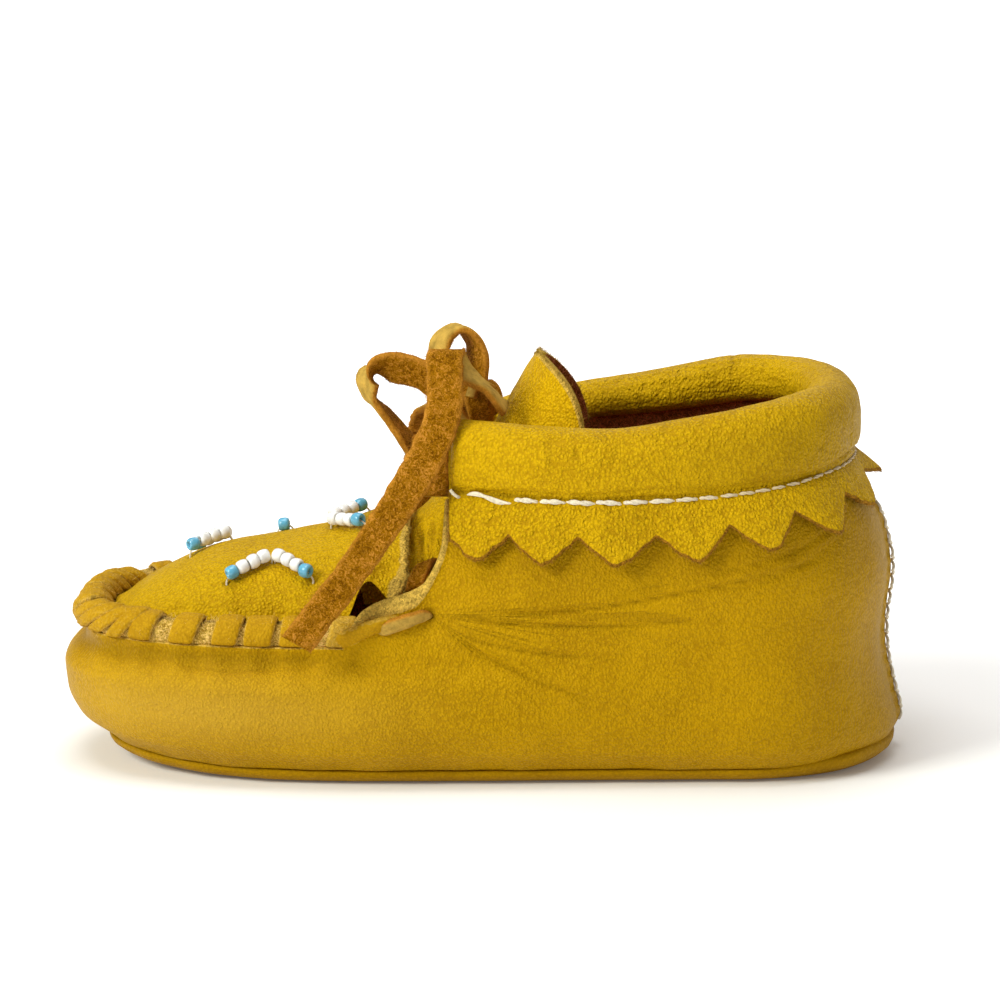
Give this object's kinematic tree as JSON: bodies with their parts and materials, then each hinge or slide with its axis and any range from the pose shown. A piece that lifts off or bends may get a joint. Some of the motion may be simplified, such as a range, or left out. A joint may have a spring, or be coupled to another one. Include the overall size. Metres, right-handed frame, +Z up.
{
  "type": "baby moccasin",
  "caption": "Soft-soled ankle moccasin with wrapped toe seam, domed beaded plug, pointed tongue, padded rolled collar with pinked cuff and a suede tie.",
  "frame": {"origin": "on the floor under the middle of the shoe's length and width", "axes": "+Z up, -X towards the toe, +X towards the heel, -Y the side seen in the picture"},
  "size_m": [0.1256, 0.0587, 0.0652],
  "materials": {
    "wall_hide": "soft grain",
    "plug_hide": "soft grain",
    "cuff_hide": "soft grain",
    "sole_hide": "matte",
    "inner_hide": "rough flesh side",
    "suede": "suede",
    "white_bead": "glossy opaque",
    "blue_bead": "glossy opaque"
  },
  "bodies": {
    "root": {"bead_blue_far_a": "blue_bead", "bead_blue_far_b": "blue_bead", "bead_blue_front_a": "blue_bead", "bead_blue_front_b": "blue_bead", "bead_blue_near_a": "blue_bead", "bead_blue_near_b": "blue_bead", "bead_blue_rear_a": "blue_bead", "bead_blue_rear_b": "blue_bead", "bead_centre": "blue_bead", "beads_white_far_a": "white_bead", "beads_white_far_b": "white_bead", "beads_white_front_a": "white_bead", "beads_white_front_b": "white_bead", "beads_white_near_a": "white_bead", "beads_white_near_b": "white_bead", "beads_white_rear_a": "white_bead", "beads_white_rear_b": "white_bead", "collar": "cuff_hide", "insole": "inner_hide", "lace_end_far": "suede", "lace_end_near": "suede", "lace_knot": "suede", "lace_loop_left": "suede", "lace_loop_top": "suede", "lace_tie": "suede", "outsole": "sole_hide", "plug": "plug_hide", "toe_lacing": "cuff_hide", "tongue": "plug_hide", "upper": "wall_hide"}
  },
  "joints": []
}
